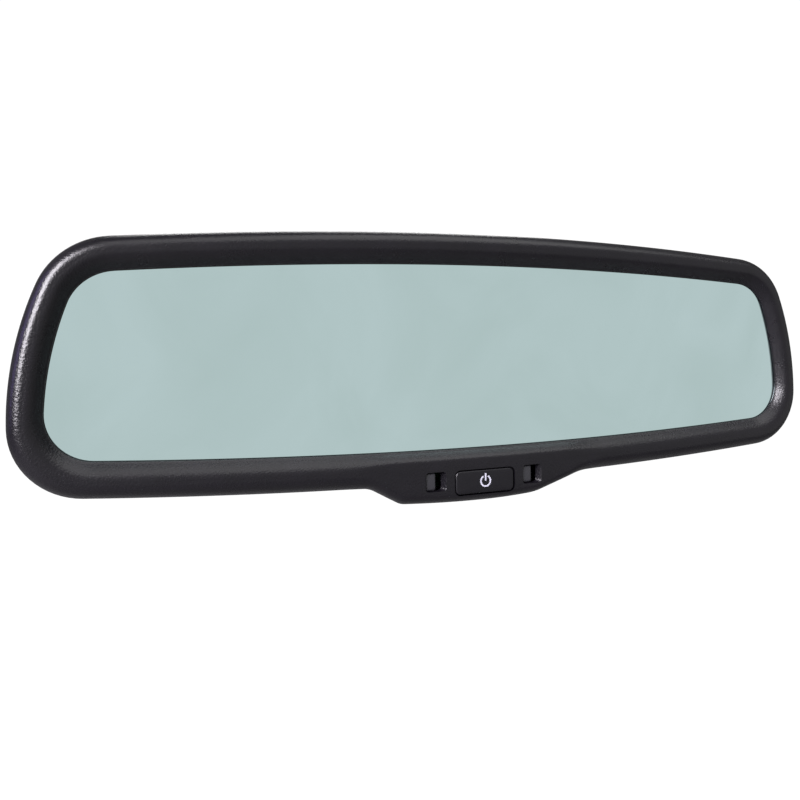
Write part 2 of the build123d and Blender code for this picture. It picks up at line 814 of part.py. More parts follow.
with BuildPart() as mount_foot:
    with BuildSketch(screen_plane.offset(-foot_clearance)):
        RectangleRounded(foot_width, foot_length, saddle_corner)
    extrude(amount=-(foot_depth - foot_clearance))
    fillet(mount_foot.faces().sort_by(screen_normal)[0].edges(), saddle_edge)
    add(stud_boss.part)
    with BuildSketch(screen_plane.offset(-foot_clearance)):
        Rectangle(6 * foot_width, 6 * foot_width)
    extrude(amount=2 * foot_width, mode=Mode.SUBTRACT)
    with BuildSketch(screen_plane.offset(-foot_depth)):
        with Locations((0, set_screw_place)):
            Circle(pad_radius)
    extrude(amount=-pad_height)
    # dovetail channel, open at the lower end
    channel_width = screen_button_width + 2 * slide_gap
    channel_end = screen_button_length / 2 + slide_gap
    channel_middle = (foot_length - channel_end) / 2
    with BuildSketch(screen_plane):
        with Locations((0, channel_middle)):
            Rectangle(channel_width - 2 * screen_button_bevel, channel_end + foot_length)
    with BuildSketch(screen_plane.offset(-screen_button_thickness)):
        with Locations((0, channel_middle)):
            Rectangle(channel_width, channel_end + foot_length)
    loft(ruled=True, mode=Mode.SUBTRACT)
    with BuildSketch(screen_plane.offset(-screen_button_thickness)):
        with Locations((0, channel_middle)):
            Rectangle(channel_width, channel_end + foot_length)
    extrude(amount=-slide_gap, mode=Mode.SUBTRACT)
    with BuildSketch(set_screw_plane):
        with Locations((0, set_screw_place)):
            Circle(set_screw_radius)
    extrude(amount=foot_depth, mode=Mode.SUBTRACT)
    with BuildSketch(stem_plane(foot_ball_y + stud_face)):
        Circle(stud_shank_radius)
    extrude(amount=-(boss_thickness - boss_skin), mode=Mode.SUBTRACT)
save(mount_foot.part, "mount_foot")

with BuildPart() as set_screw:
    with BuildSketch(screen_plane.offset(-screen_button_thickness)):
        with Locations((0, set_screw_place)):
            Circle(set_screw_radius)
    extrude(amount=-set_screw_length)
    chamfer(set_screw.edges().filter_by(GeomType.CIRCLE), set_screw_bevel)
    with BuildSketch(screen_plane.offset(-screen_button_thickness - set_screw_length)):
        with Locations((0, set_screw_place)):
            RegularPolygon(hex_radius, 6)
    extrude(amount=hex_depth, mode=Mode.SUBTRACT)
save(set_screw.part, "set_screw")

print("glass centre", 0, glass_y, stem_z)
print("width", 2 * rim_half_width, "height", rim_top + chin_bottom)
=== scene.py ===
# %% [markdown]
# # An interior rearview mirror that dims itself
#
# The mirror is a thin sandwich of two glass plates in a moulded black frame. The frame has a chin
# with one power button, and two small pockets beside it. A metal stem with a ball at each end
# joins the head to a foot that slides on a metal button glued to the windscreen.
#
# The measured model comes in first. Every piece made here is placed from its boxes, in metres: X
# to the right, Y away from the driver, Z up.

# %% Load the measured model
import bpy
import bmesh
import math
from mathutils import Matrix, Vector


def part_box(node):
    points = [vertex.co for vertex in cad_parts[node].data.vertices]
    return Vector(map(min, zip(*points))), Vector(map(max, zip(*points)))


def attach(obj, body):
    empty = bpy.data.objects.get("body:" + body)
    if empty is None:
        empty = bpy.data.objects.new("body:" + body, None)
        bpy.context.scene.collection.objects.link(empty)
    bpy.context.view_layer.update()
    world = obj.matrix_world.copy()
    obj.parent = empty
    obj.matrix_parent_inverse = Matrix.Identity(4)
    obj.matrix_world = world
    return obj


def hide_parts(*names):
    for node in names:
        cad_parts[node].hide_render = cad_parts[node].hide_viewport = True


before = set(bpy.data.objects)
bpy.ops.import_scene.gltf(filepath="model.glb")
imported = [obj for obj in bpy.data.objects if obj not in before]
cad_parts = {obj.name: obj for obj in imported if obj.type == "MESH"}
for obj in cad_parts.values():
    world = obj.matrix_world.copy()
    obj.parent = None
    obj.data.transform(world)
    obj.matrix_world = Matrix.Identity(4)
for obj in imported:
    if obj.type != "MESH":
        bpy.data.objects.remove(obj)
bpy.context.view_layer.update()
MM = 0.001
print("nodes:", len(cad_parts))

# %% [markdown]
# ## One place to measure from
# A mirror maker measures the head from the middle of the glass. `at` turns a place on the head,
# in millimetres from there, into a place in the scene. Depth counts backwards from the front of
# the glass.

# %% The middle of the glass
glass_low, glass_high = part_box("front_glass")
glass_y = glass_low[1]
glass_z = (glass_low[2] + glass_high[2]) / 2


def at(x, depth, z):
    return Vector((x * MM, glass_y + depth * MM, glass_z + z * MM))


print("glass middle at", [round(v / MM, 1) for v in at(0, 0, 0)], "mm")

# %% [markdown]
# ## The camera
# The mirror is seen from the left of straight on, almost level with the glass, from about 23
# centimetres in front of its middle. A short lens from that close makes the near end look clearly
# taller than the far end, so the distance matters as much as the angle. The three directions
# below are the camera's own right, down and ahead.

# %% Camera
CAMERA_PLACE = (-107.54, -205.10, 1.97)
CAMERA_LENS, CAMERA_SENSOR = 33.75, 36.0


def make_camera():
    right = Vector((0.92896, -0.36971, -0.01851))
    down = Vector((-0.04086, -0.05272, -0.99777))
    ahead = Vector((0.36792, 0.92765, -0.06409))
    data = bpy.data.cameras.new("driver_view")
    data.sensor_width = CAMERA_SENSOR
    data.lens = CAMERA_LENS
    data.clip_start = 0.01
    camera = bpy.data.objects.new("driver_view", data)
    turn = Matrix((right, -down, -ahead)).transposed().to_4x4()
    camera.matrix_world = Matrix.Translation(at(*CAMERA_PLACE)) @ turn
    bpy.context.scene.collection.objects.link(camera)
    bpy.context.scene.camera = camera
    return camera


camera = make_camera()
print("camera", [round(v, 3) for v in camera.location], "lens", camera.data.lens)

# %% [markdown]
# ## Helpers for meshes
# Most pieces of the head are rings of points joined by quads: one ring for each station round the
# outline. That gives an even mesh that shades smoothly, which matters on a dark, slightly shiny
# moulding where every bump shows in the highlight. `clean_mesh` turns all faces outwards.
# `add_piece` puts such a mesh in the scene, and marks as sharp only the edges that really are.
# The angle that counts as sharp is in degrees.

# %% Mesh helpers
SHARP_EDGE = 35.0


def clean_mesh(name, verts, faces):
    mesh = bpy.data.meshes.new(name)
    mesh.from_pydata([tuple(v) for v in verts], [], faces)
    mesh.validate()
    tidy = bmesh.new()
    tidy.from_mesh(mesh)
    bmesh.ops.recalc_face_normals(tidy, faces=tidy.faces)
    tidy.to_mesh(mesh)
    tidy.free()
    return mesh


def put_in_scene(name, data):
    thing = bpy.data.objects.new(name, data)
    bpy.context.scene.collection.objects.link(thing)
    return thing


def add_piece(name, verts, faces, body, replaces=(), sharp=SHARP_EDGE):
    mesh = clean_mesh(name, verts, faces)
    smooth_by_angle(mesh, sharp)
    piece = put_in_scene(name, mesh)
    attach(piece, body)
    if replaces:
        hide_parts(*replaces)
    return piece


def smooth_by_angle(mesh, degrees):
    mesh.shade_smooth()
    mesh.set_sharp_from_angle(angle=math.radians(degrees))


def ring_faces(stations, loop, close_around=True, close_loop=True):
    """Quads between stations of `loop` points each."""
    faces = []
    for i in range(stations if close_around else stations - 1):
        for j in range(loop if close_loop else loop - 1):
            a, b = i * loop + j, i * loop + (j + 1) % loop
            k = (i + 1) % stations
            faces.append((a, b, k * loop + (j + 1) % loop, k * loop + j))
    return faces


def cut_with(piece, cutters):
    """Cuts the cutters out of the piece, applies the cuts and removes the cutters."""
    for cutter in cutters:
        cut = piece.modifiers.new("cut", "BOOLEAN")
        cut.operation = "DIFFERENCE"
        cut.solver = "EXACT"
        cut.object = cutter
    graph = bpy.context.evaluated_depsgraph_get()
    mesh = bpy.data.meshes.new_from_object(piece.evaluated_get(graph))
    piece.modifiers.clear()
    piece.data = mesh
    smooth_by_angle(mesh, SHARP_EDGE)
    for cutter in cutters:
        bpy.data.objects.remove(cutter)


def rounded_box_loop(half_w, half_h, radius, steps=6):
    """Points round a rectangle with rounded corners, anticlockwise, in millimetres."""
    points = []
    for k, (sx, sz) in enumerate(((1, 1), (-1, 1), (-1, -1), (1, -1))):
        for s in range(steps + 1):
            angle = math.pi / 2 * (k + s / steps)
            points.append((sx * (half_w - radius) + radius * math.cos(angle),
                           sz * (half_h - radius) + radius * math.sin(angle)))
    return points


def stacked(loops):
    """Closed solid through loops of equally many points, capped at both ends."""
    count = len(loops[0])
    verts = [p for loop in loops for p in loop]
    faces = ring_faces(len(loops), count, close_around=False)
    faces.append(tuple(range(count))[::-1])
    faces.append(tuple(range(len(verts) - count, len(verts))))
    return verts, faces


def cutter(loops):
    return put_in_scene("cutter", clean_mesh("cutter", *stacked(loops)))


# %% [markdown]
# ## The two outlines
# Neither the window nor the outside of the frame is a plain rounded rectangle. Each is four arcs
# with rounded corners: very shallow ones above and below, and rounder ones at the ends. Both are
# wider at the bottom. Both are cut into the same number of stations, arc by arc, so that station
# 40 of the window sits opposite station 40 of the rim.

# %% Outlines of window and rim
ARC_STEPS = {"top": 46, "top_corner": 16, "side": 30, "bottom_corner": 16, "bottom": 130}


def corner_centre(c1, r1, c2, r2, up):
    """Centre of a corner arc: where the two inset arcs cross, on the right-hand side."""
    gap = (c2 - c1).length
    along = (r1 * r1 - r2 * r2 + gap * gap) / (2 * gap)
    aside = math.sqrt(max(r1 * r1 - along * along, 0.0))
    way = (c2 - c1) / gap
    foot = c1 + along * way
    side = Vector((-way.y, way.x))
    return max((foot + aside * side, foot - aside * side), key=lambda p: p.x + up * p.y)


def outline(half, slant, side_r, top, top_r, bottom, bottom_r, top_corner, bottom_corner):
    """Stations round the outline from bottom centre, up the right side, and down the left."""
    tilt = math.radians(slant)
    side_c = Vector((half, 0)) - side_r * Vector((math.cos(tilt), math.sin(tilt)))
    top_c, bottom_c = Vector((0, top - top_r)), Vector((0, bottom_r - bottom))
    high = corner_centre(top_c, top_r - top_corner, side_c, side_r - top_corner, 1)
    low = corner_centre(bottom_c, bottom_r - bottom_corner, side_c, side_r - bottom_corner, -1)

    def heading(c, p):
        return math.atan2(p.y - c.y, p.x - c.x)

    arcs = (
        (bottom_c, bottom_r, -math.pi / 2, heading(bottom_c, low), "bottom"),
        (low, bottom_corner, heading(bottom_c, low), heading(side_c, low), "bottom_corner"),
        (side_c, side_r, heading(side_c, low), heading(side_c, high), "side"),
        (high, top_corner, heading(side_c, high), heading(top_c, high), "top_corner"),
        (top_c, top_r, heading(top_c, high), math.pi / 2, "top"),
    )
    right = []
    for centre, radius, start, end, part in arcs:
        steps = ARC_STEPS[part]
        for s in range(steps):
            angle = start + (end - start) * s / steps
            right.append(centre + radius * Vector((math.cos(angle), math.sin(angle))))
    right.append(Vector((0, top)))
    left = [Vector((-p.x, p.y)) for p in right[-2:0:-1]]
    return right + left


WINDOW_SHAPE = {"half": 119.9, "side_r": 93.1, "top": 27.95, "top_r": 1395.0, "bottom": 27.95,
                "bottom_r": 1809.0, "top_corner": 13.7, "bottom_corner": 12.1}
RIM_SHAPE = {"half": 128.4, "side_r": 93.2, "top": 37.35, "top_r": 1213.0, "bottom": 38.35,
             "bottom_r": 1501.0, "top_corner": 21.3, "bottom_corner": 18.2}
WINDOW_SLANT, RIM_SLANT = 11.96, 11.07


def window_outline(grow=0.0):
    """The window's outline, moved outwards everywhere by `grow`."""
    return outline(slant=WINDOW_SLANT, **{part: size + grow for part, size in WINDOW_SHAPE.items()})


window = window_outline()
rim = outline(slant=RIM_SLANT, **RIM_SHAPE)
stations = len(rim)
print("stations round the head:", stations, "half width", round(max(p.x for p in rim), 2))

# %% [markdown]
# ## The chin
# In the middle the lower edge drops to make room for the button. The drop is a shallow trapezoid
# whose left slope is steeper than its right one. Its upper corners blend into the frame, and its
# lower corners are rounded. A smooth minimum and maximum of three simple lines give both, with no
# separate arcs to join.

# %% Chin drop
CHIN_SHOULDER, LEFT_FOOT, RIGHT_FOOT = 36.2, 26.7, 18.9
CHIN_DROP, CHIN_BOW = 5.2, 0.7
FOOT_BLEND, SHOULDER_BLEND = 0.5, 1.0
CHIN_REACH, CHIN_FADE = 46.0, 16.0


def smooth_min(a, b, reach):
    h = max(reach - abs(a - b), 0.0) / reach
    return min(a, b) - h * h * reach / 4


def chin_drop(x):
    foot = LEFT_FOOT if x < 0 else RIGHT_FOOT
    slope = (CHIN_SHOULDER - abs(x)) / (CHIN_SHOULDER - foot) * CHIN_DROP
    floor = CHIN_DROP + CHIN_BOW * (1 - min(abs(x) / foot, 1.0) ** 2)
    return -smooth_min(-smooth_min(slope, floor, FOOT_BLEND), 0.0, SHOULDER_BLEND)


def smooth_step(t):
    return t * t * (3 - 2 * t)


def chin_weight(x):
    """1 on the chin, 0 away from it, for everything that changes there."""
    return smooth_step(min(max((CHIN_REACH - abs(x)) / CHIN_FADE, 0.0), 1.0))


outer = [Vector((p.x, p.y - chin_drop(p.x))) if p.y < 0 else p.copy() for p in rim]
print("chin bottom", round(min(p.y for p in outer), 2))

# %% [markdown]
# ## The frame
# Cut across anywhere, the frame is a hook: a low lip beside the glass, a curve up to the crest
# like the side of a tube, a full rounding over the outer edge, and a straight wall back to the
# joint with the rear cover. On the chin there is a flat for the button, with a smaller rounding
# below it. The same list of points is stretched to fit at each station, so the chin grows out of
# the frame with no seam.

# %% Frame section
CREST, LIP, PARTING = 3.5, 0.55, 9.0
WALL, CHIN_WALL = 2.2, 1.2
SLOPE_SHARE, CHIN_SLOPE = 0.46, 3.3
ROUND_SHARE, CHIN_ROUND = 0.42, 3.0
ROUND_DEPTH, CHIN_ROUND_DEPTH = 5.6, 4.34
SKIN_BACK, CHIN_SKIN_BACK = 0.03, -1.7


def mix(a, b, t):
    return a + (b - a) * t


def frame_section(width, chin):
    """(distance outwards from the window edge, depth) round the section, as a closed loop."""
    slope = mix(SLOPE_SHARE * width, CHIN_SLOPE, chin)
    round_w = mix(ROUND_SHARE * width, CHIN_ROUND, chin)
    round_h = mix(ROUND_DEPTH, CHIN_ROUND_DEPTH, chin)
    skin = mix(SKIN_BACK, CHIN_SKIN_BACK, chin)
    wall = mix(WALL, CHIN_WALL, chin)
    flat = width - slope - round_w
    points = [(0.0, 0.02), (0.0, -LIP + 0.12), (0.05, -LIP + 0.03), (0.12, -LIP)]
    for i in range(1, 10):
        share = i / 9
        points.append((mix(0.12, slope, share), mix(-LIP, -CREST, math.sin(share * math.pi / 2))))
    for i in range(1, 4):
        points.append((slope + flat * i / 4, -CREST))
    for i in range(0, 13):
        turn = i / 12 * math.pi / 2
        points.append((width - round_w * (1 - math.sin(turn)), -CREST + round_h * (1 - math.cos(turn))))
    points += [(width, mix(round_h - CREST, PARTING - 0.35, share)) for share in (0.33, 0.66, 1.0)]
    points += [(width - 0.35, PARTING - 0.02), (width - WALL, PARTING - 0.02)]
    points += [(width - wall, PARTING - 2), (width - wall, skin)]
    points += [(mix(0.7 * width, 5.5, chin), skin), (mix(0.5 * width, 4.2, chin), 0.02)]
    return points


def build_frame():
    verts = []
    for inner_p, outer_p in zip(window, outer):
        across = outer_p - inner_p
        width = across.length
        across.normalize()
        chin = chin_weight(outer_p.x) if outer_p.y < 0 else 0.0
        for distance, depth in frame_section(width, chin):
            p = inner_p + across * distance
            verts.append(at(p.x, depth, p.y))
    loop = len(verts) // stations
    return add_piece("bezel_moulding", verts, ring_faces(stations, loop), "head", ("bezel",))


bezel = build_frame()
print("frame quads:", len(bezel.data.polygons))

# %% [markdown]
# ## Openings in the chin
# The mould leaves a window for the button, and a small pocket on each side of it. Each pocket has
# three steep walls and one that slopes, the one on the right. They are cut out with solid
# cutters. `POCKET_STEPS` gives a pocket from front to back: depth, right and left side, half the
# height.

# %% Button window and pockets
BUTTON_Z, POCKET_X, POCKET_Z = -37.95, 16.5, -36.95
BUTTON_HOLE = rounded_box_loop(10.35, 3.92, 1.9)
POCKET_CORNER = 1.1
POCKET_STEPS = ((-5.0, 4.0, -3.4, 3.0), (-3.5, 3.4, -3.35, 2.95), (-3.3, 3.25, -3.3, 2.9),
                (-1.5, 2.2, -3.2, 2.7))


def loop_at(points, x, z, depth):
    return [at(x + px, depth, z + pz) for px, pz in points]


def pocket_cutter(x):
    loops = []
    for depth, right, left, up in POCKET_STEPS:
        points = rounded_box_loop((right - left) / 2, up, POCKET_CORNER)
        loops.append(loop_at(points, x + (right + left) / 2, POCKET_Z, depth))
    return cutter(loops)


cut_with(bezel, [
    cutter([loop_at(BUTTON_HOLE, 0, BUTTON_Z, depth) for depth in (-6.0, 1.0)]),
    pocket_cutter(-POCKET_X),
    pocket_cutter(POCKET_X),
])
print("frame faces after cutting:", len(bezel.data.polygons))

# %% [markdown]
# ## The rear cover
# The cover closes the head from behind. Its edge follows the frame exactly, with a fine groove at
# the joint, and it swells to a low dome with a flat middle, where the stem goes in through a
# round collar. Each ring is the outline scaled towards the middle, and the flat part turns step
# by step from the outline's shape into a circle. The chin fades out on the way back. `COLLAR`
# gives the collar and the hole as radius and height over the flat.

# %% Rear cover
COVER_DEPTH, DOME_END, COLLAR_R, HOLE_R = 27.0, 0.46, 19.6, 17.0
CHIN_FADE_DEPTH, SQUEEZE = 8.4, 0.42
DOME_STEPS, FLAT_STEPS = 26, 9
DOME_FRONT = 0.4
COLLAR = ((COLLAR_R + 0.3, 0.06), (COLLAR_R, 0.35), (COLLAR_R - 0.4, 0.62), (COLLAR_R - 0.9, 0.72),
          (HOLE_R + 0.7, 0.72), (HOLE_R + 0.2, 0.5), (HOLE_R, 0.0), (HOLE_R, -5.0),
          (HOLE_R + 1.5, -5.0), (HOLE_R + 1.6, -WALL - 0.2))


def cover_ring(size, depth, circle=0.0, radius=COLLAR_R, inset=0.0):
    fade = 0.0
    if depth < PARTING + CHIN_FADE_DEPTH:
        fade = math.sqrt(max(1 - ((depth - PARTING) / CHIN_FADE_DEPTH) ** 2, 0.0))
    ring = []
    for rim_p, outer_p in zip(rim, outer):
        p = rim_p * size + (outer_p - rim_p) * fade
        if inset:
            p -= p.normalized() * inset
        if circle:
            around = Vector((rim_p.x * SQUEEZE, rim_p.y)).normalized() * radius
            p = p.lerp(around, circle)
        ring.append(at(p.x, depth, p.y))
    return ring


def build_cover():
    rings = [cover_ring(1.0, PARTING + 0.02, inset=WALL),
             cover_ring(1.0, PARTING + 0.02, inset=0.45),
             cover_ring(1.0, PARTING + 0.12, inset=0.12),
             cover_ring(1.0, PARTING + DOME_FRONT)]
    for i in range(1, DOME_STEPS + 1):
        angle = math.pi / 2 * (i / DOME_STEPS) ** 1.15
        share = math.sin(angle)
        size = DOME_END + (1 - DOME_END) * max(math.cos(angle), 0.0) ** 1.25
        depth = PARTING + DOME_FRONT + (COVER_DEPTH - PARTING - DOME_FRONT) * share
        rings.append(cover_ring(size, depth))
    for i in range(1, FLAT_STEPS + 1):
        round_share = smooth_step(i / FLAT_STEPS)
        rings.append(cover_ring(DOME_END, COVER_DEPTH, circle=round_share, radius=COLLAR_R + 0.9))
    rings += [cover_ring(DOME_END, COVER_DEPTH + up, circle=1.0, radius=r) for r, up in COLLAR]
    rings.append(cover_ring(DOME_END - 0.03, COVER_DEPTH - WALL))
    rings.append(cover_ring(0.80, COVER_DEPTH - WALL - 4))
    rings.append(cover_ring(0.93, PARTING + 6, inset=WALL))
    count = len(rings)
    verts = [rings[j][i] for i in range(stations) for j in range(count)]
    faces = ring_faces(stations, count)
    return add_piece("cover_moulding", verts, faces, "head", ("rear_housing",))


cover = build_cover()
print("cover quads:", len(cover.data.polygons))

# %% [markdown]
# Two more openings: one for the wiring socket and a round one for the sensor that looks forwards
# through the windscreen. Both are sized from the parts that stand in them.

# %% Openings in the cover
def node_middle(node):
    low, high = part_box(node)
    return [((a + b) / 2) for a, b in zip(low, high)], [(b - a) / 2 for a, b in zip(low, high)]


def opening(node, gap, radius, depths):
    (mx, _, mz), (hx, _, hz) = node_middle(node)
    points = rounded_box_loop(hx / MM + gap, hz / MM + gap, radius + gap)
    return cutter([loop_at(points, mx / MM, (mz - glass_z) / MM, depth) for depth in depths])


cut_with(cover, [
    opening("wiring_socket", 0.4, 1.0, (20.0, 30.0)),
    opening("ambient_sensor_lens", 0.25, 2.4, (20.0, 30.0)),
])
print("cover faces after cutting:", len(cover.data.polygons))

# %% [markdown]
# ## The glass
# The front plate is the part you look at. Its ground edge is a small bevel that the lip hides.
# The face is dead flat, so it is one polygon, and round it runs a dark line a third of a
# millimetre wide. It is partly real and partly painted reflection: the silver is behind the glass, so
# beside the lip you look past it into the dark edge of the cell, and the dark lip's reflection in the
# silver, offset by the glass, is painted into the same line.

# %% Front plate
EDGE_LINE = 0.3
UNDER_LIP, BEVEL = 2.0, 0.25


def build_front_plate():
    loops = []
    thickness = (glass_high[1] - glass_low[1]) / MM
    for grow, depth in ((UNDER_LIP - BEVEL, thickness), (UNDER_LIP, thickness - BEVEL),
                        (UNDER_LIP, BEVEL), (UNDER_LIP - BEVEL, 0.0), (-EDGE_LINE, 0.0)):
        loops.append([at(p.x, depth, p.y) for p in window_outline(grow)])
    verts, faces = stacked(loops)
    return add_piece("mirror_plate", verts, faces, "head", ("front_glass",), sharp=20)


mirror_plate = build_front_plate()

# %% [markdown]
# ## The power button
# A hard plastic cap with a soft crown and rounded edges, set in its window with a thin dark gap
# all round. Each loop of the stack is the cap's outline, drawn in as it comes over the edge.
# Behind, it has a flange that stops it falling out and a post that presses the switch.

# %% Button cap
button_low, button_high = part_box("power_button")
cap_front = (button_low[1] - glass_y) / MM
CAP_HALF_W, CAP_HALF_H, CAP_CORNER, CAP_EDGE = 9.95, 3.56, 1.5, 0.55
CAP_FLANGE, CAP_POST = 0.9, 2.2
CAP_INSET = 0.17


def cap_loop(half_w, half_h, radius, depth):
    return loop_at(rounded_box_loop(half_w, half_h, radius), 0, BUTTON_Z, depth)


def build_button():
    back = (button_high[1] - glass_y) / MM
    loops = [cap_loop(CAP_POST, CAP_POST, CAP_POST - 0.01, depth) for depth in (back, 0.4)]
    loops += [cap_loop(CAP_HALF_W + CAP_FLANGE, CAP_HALF_H, 0.5, depth) for depth in (0.2, -1.1)]
    loops.append(cap_loop(CAP_HALF_W, CAP_HALF_H, CAP_CORNER, -1.2))
    for i in range(7):
        angle = i / 6 * math.pi / 2
        draw_in = CAP_EDGE * (1 - math.cos(angle))
        depth = cap_front + CAP_INSET + CAP_EDGE * (1 - math.sin(angle))
        corner = CAP_CORNER - draw_in * 0.6
        loops.append(cap_loop(CAP_HALF_W - draw_in, CAP_HALF_H - draw_in, corner, depth))
    for share, up in ((0.75, 0.045), (0.45, 0.09), (0.1, 0.115)):
        half_w, half_h = (CAP_HALF_W - CAP_EDGE) * share, (CAP_HALF_H - CAP_EDGE) * share
        loops.append(cap_loop(half_w, half_h, 0.9 * share, cap_front + CAP_INSET - up))
    verts, faces = stacked(loops)
    return add_piece("button_cap", verts, faces, "button", ("power_button",))


button = build_button()

# %% [markdown]
# The mark on the button is a broken ring with a bar, moulded in white. It is drawn as two ribbons
# with round ends and given a little height, so it catches light as a real inlay does.

# %% Power symbol
MARK_R, MARK_HALF_LINE, MARK_Z = 1.62, 0.25, BUTTON_Z + 0.15
MARK_OPENING, MARK_STEPS = 72, 40
MARK_BAR = (2.15, 1.5, 0.8, 0.25)


def ribbon(path, half_line, depth_front, depth_back):
    """Closed flat ribbon with round ends along a list of (x, z) points."""
    left, right = [], []
    for i, p in enumerate(path):
        before, after = path[max(i - 1, 0)], path[min(i + 1, len(path) - 1)]
        way = Vector((after[0] - before[0], after[1] - before[1])).normalized()
        side = Vector((-way.y, way.x)) * half_line
        left.append((p[0] + side.x, p[1] + side.y))
        right.append((p[0] - side.x, p[1] - side.y))

    def cap(a, b):
        middle = Vector(((a[0] + b[0]) / 2, (a[1] + b[1]) / 2))
        start = math.atan2(a[1] - middle.y, a[0] - middle.x)
        return [(middle.x + half_line * math.cos(start - math.pi * k / 8),
                 middle.y + half_line * math.sin(start - math.pi * k / 8)) for k in range(1, 8)]

    around = left + cap(left[-1], right[-1]) + right[::-1] + cap(right[0], left[0])
    return [[at(x, depth_front, z) for x, z in around], [at(x, depth_back, z) for x, z in around]]


def build_symbol():
    front, back = cap_front + 0.005, cap_front + 0.3
    ring = []
    for k in range(MARK_STEPS + 1):
        angle = math.radians(90 + MARK_OPENING / 2 + (360 - MARK_OPENING) * k / MARK_STEPS)
        ring.append((MARK_R * math.cos(angle), MARK_Z + MARK_R * math.sin(angle)))
    bar = [(0.0, MARK_Z + height) for height in MARK_BAR]
    verts, faces = [], []
    for path in (ring, bar):
        v, f = stacked(ribbon(path, MARK_HALF_LINE, front, back))
        faces += [tuple(i + len(verts) for i in face) for face in f]
        verts += v
    return add_piece("button_mark", verts, faces, "button", ("power_symbol",))


symbol = build_symbol()

# %% [markdown]
# ## The two small windows
# Beside the button sit a lamp that shows the dimmer is on and an eye that looks back for
# headlamps. Each ends in a smoked window at the left of its pocket, a small pillow with rounded
# edges. Its shank runs back through the frame to the board. `PILLOW_STEPS` gives the pillow from
# back to front: half width, half height, depth.

# %% Windows in the pockets
PILLOW_LEFT, PILLOW_CORNER = 1.45, 0.6
SHANK_HALF_W, SHANK_HALF_H = 1.5, 1.6
PILLOW_STEPS = ((1.65, 2.60, -1.05), (1.65, 2.60, -2.35), (1.58, 2.53, -2.58),
                (1.40, 2.35, -2.73), (1.05, 2.0, -2.80))


def build_window(name, node, x):
    back = (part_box(node)[1][1] - glass_y) / MM
    shape = ((SHANK_HALF_W, SHANK_HALF_H, back), (SHANK_HALF_W, SHANK_HALF_H, -1.0)) + PILLOW_STEPS
    loops = [loop_at(rounded_box_loop(half_w, half_h, PILLOW_CORNER), x - PILLOW_LEFT, POCKET_Z, depth)
             for half_w, half_h, depth in shape]
    verts, faces = stacked(loops)
    return add_piece(name, verts, faces, "head", (node,))


small_windows = [
    build_window("indicator_window", "indicator_lens", -POCKET_X),
    build_window("glare_sensor_window", "glare_sensor_lens", POCKET_X),
]

# %% [markdown]
# ## Materials
# Every finish is built from nodes in object space, in metres, so its grain has a real size and
# needs no unwrapping. `finish` makes the shader and sets its plain numbers. `grain` adds fine
# bumps of a chosen size and height, and `blotches` lets the roughness wander a little, because no
# moulding or casting is perfectly even.

# %% Material helpers
def finish(name, color, roughness, metallic=0.0, ior=1.45, **sockets):
    material = bpy.data.materials.new(name)
    material.use_nodes = True
    shader = material.node_tree.nodes["Principled BSDF"]
    shader.inputs["Base Color"].default_value = (*color, 1.0)
    shader.inputs["Roughness"].default_value = roughness
    shader.inputs["Metallic"].default_value = metallic
    shader.inputs["IOR"].default_value = ior
    for socket, value in sockets.items():
        shader.inputs[socket.replace("_", " ")].default_value = value
    return material


def place_node(material):
    nodes = material.node_tree.nodes
    found = nodes.get("place") or nodes.new("ShaderNodeTexCoord")
    found.name = "place"
    return found.outputs["Object"]


def noise(material, size_mm, detail=3.0, distortion=0.0):
    node = material.node_tree.nodes.new("ShaderNodeTexNoise")
    node.inputs["Scale"].default_value = 1000.0 / size_mm
    node.inputs["Detail"].default_value = detail
    node.inputs["Distortion"].default_value = distortion
    material.node_tree.links.new(place_node(material), node.inputs["Vector"])
    return node.outputs["Fac"]


def leather_cells(material, size_mm):
    node = material.node_tree.nodes.new("ShaderNodeTexVoronoi")
    node.feature = "SMOOTH_F1"
    node.inputs["Scale"].default_value = 1000.0 / size_mm
    node.inputs["Smoothness"].default_value = 0.35
    material.node_tree.links.new(place_node(material), node.inputs["Vector"])
    return node.outputs["Distance"]


def to_range(material, value, low, high):
    node = material.node_tree.nodes.new("ShaderNodeMapRange")
    node.inputs["To Min"].default_value = low
    node.inputs["To Max"].default_value = high
    material.node_tree.links.new(value, node.inputs["Value"])
    return node.outputs["Result"]


def grain(material, height_mm, *values):
    """Bump from the sum of the given textures."""
    tree = material.node_tree
    total = values[0]
    for extra in values[1:]:
        add = tree.nodes.new("ShaderNodeMath")
        tree.links.new(total, add.inputs[0])
        tree.links.new(extra, add.inputs[1])
        total = add.outputs[0]
    bump = tree.nodes.new("ShaderNodeBump")
    bump.inputs["Strength"].default_value = 1.0
    bump.inputs["Distance"].default_value = height_mm * MM
    tree.links.new(total, bump.inputs["Height"])
    tree.links.new(bump.outputs["Normal"], tree.nodes["Principled BSDF"].inputs["Normal"])


def blotches(material, size_mm, low, high):
    """Roughness that wanders between two values."""
    rough = to_range(material, noise(material, size_mm, 4.0), low, high)
    material.node_tree.links.new(rough, material.node_tree.nodes["Principled BSDF"].inputs["Roughness"])


def tones(material, size_mm, dark, light, detail=4.0, distortion=0.0):
    """Base colour that wanders between two tones."""
    tree = material.node_tree
    ramp = tree.nodes.new("ShaderNodeValToRGB")
    ramp.color_ramp.elements[0].position = 0.30
    ramp.color_ramp.elements[1].position = 0.70
    ramp.color_ramp.elements[0].color = (*dark, 1.0)
    ramp.color_ramp.elements[1].color = (*light, 1.0)
    tree.links.new(noise(material, size_mm, detail, distortion), ramp.inputs["Fac"])
    tree.links.new(ramp.outputs["Color"], tree.nodes["Principled BSDF"].inputs["Base Color"])


def coat_piece(piece, material):
    piece.data.materials.clear()
    piece.data.materials.append(material)


